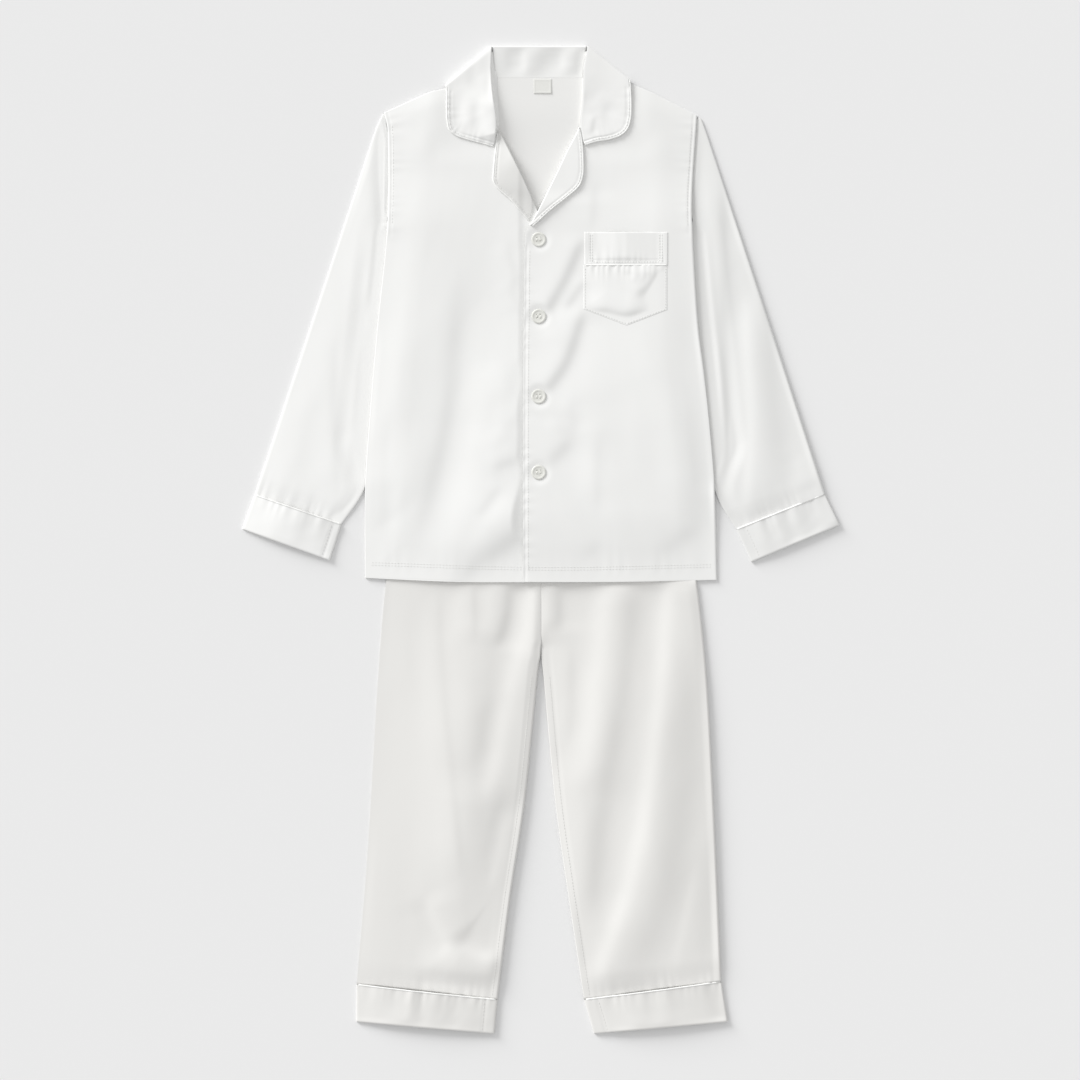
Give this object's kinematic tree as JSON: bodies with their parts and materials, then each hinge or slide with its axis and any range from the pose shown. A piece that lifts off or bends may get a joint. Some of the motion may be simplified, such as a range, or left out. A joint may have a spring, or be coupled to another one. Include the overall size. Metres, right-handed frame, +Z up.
{
  "type": "pyjama set",
  "caption": "Child's satin pyjama set laid flat: a piped, notch-collared, buttoned long-sleeved jacket with a breast pocket, lying over straight trousers with turned cuffs.",
  "frame": {"origin": "middle of the laid-out set's bounding box, on the surface it lies on", "axes": "+X to the wearer's left, +Y from the trouser hems to the collar, +Z up from the surface"},
  "size_m": [0.598, 0.988, 0.0109],
  "materials": {
    "white_satin": "satin",
    "white_satin_trim": "satin",
    "button_shell": "polished",
    "label_tape": "woven"
  },
  "bodies": {
    "root": {"trouser_back_right": "white_satin", "trouser_front_right": "white_satin", "trouser_cuff_right": "white_satin", "trouser_piping_right": "white_satin_trim", "trouser_back_left": "white_satin", "trouser_front_left": "white_satin", "trouser_cuff_left": "white_satin", "trouser_piping_left": "white_satin_trim", "waistband": "white_satin", "sleeve_right": "white_satin", "sleeve_cuff_right": "white_satin", "sleeve_piping_right": "white_satin_trim", "sleeve_left": "white_satin", "sleeve_cuff_left": "white_satin", "sleeve_piping_left": "white_satin_trim", "jacket_back": "white_satin", "jacket_front_right": "white_satin", "jacket_front_left": "white_satin", "lapel_right": "white_satin", "lapel_piping_right": "white_satin_trim", "lapel_left": "white_satin", "lapel_piping_left": "white_satin_trim", "collar": "white_satin", "collar_piping": "white_satin_trim", "pocket": "white_satin", "pocket_band": "white_satin", "pocket_piping": "white_satin_trim", "button_1": "button_shell", "button_2": "button_shell", "button_3": "button_shell", "button_4": "button_shell", "neck_label": "label_tape"}
  },
  "joints": []
}
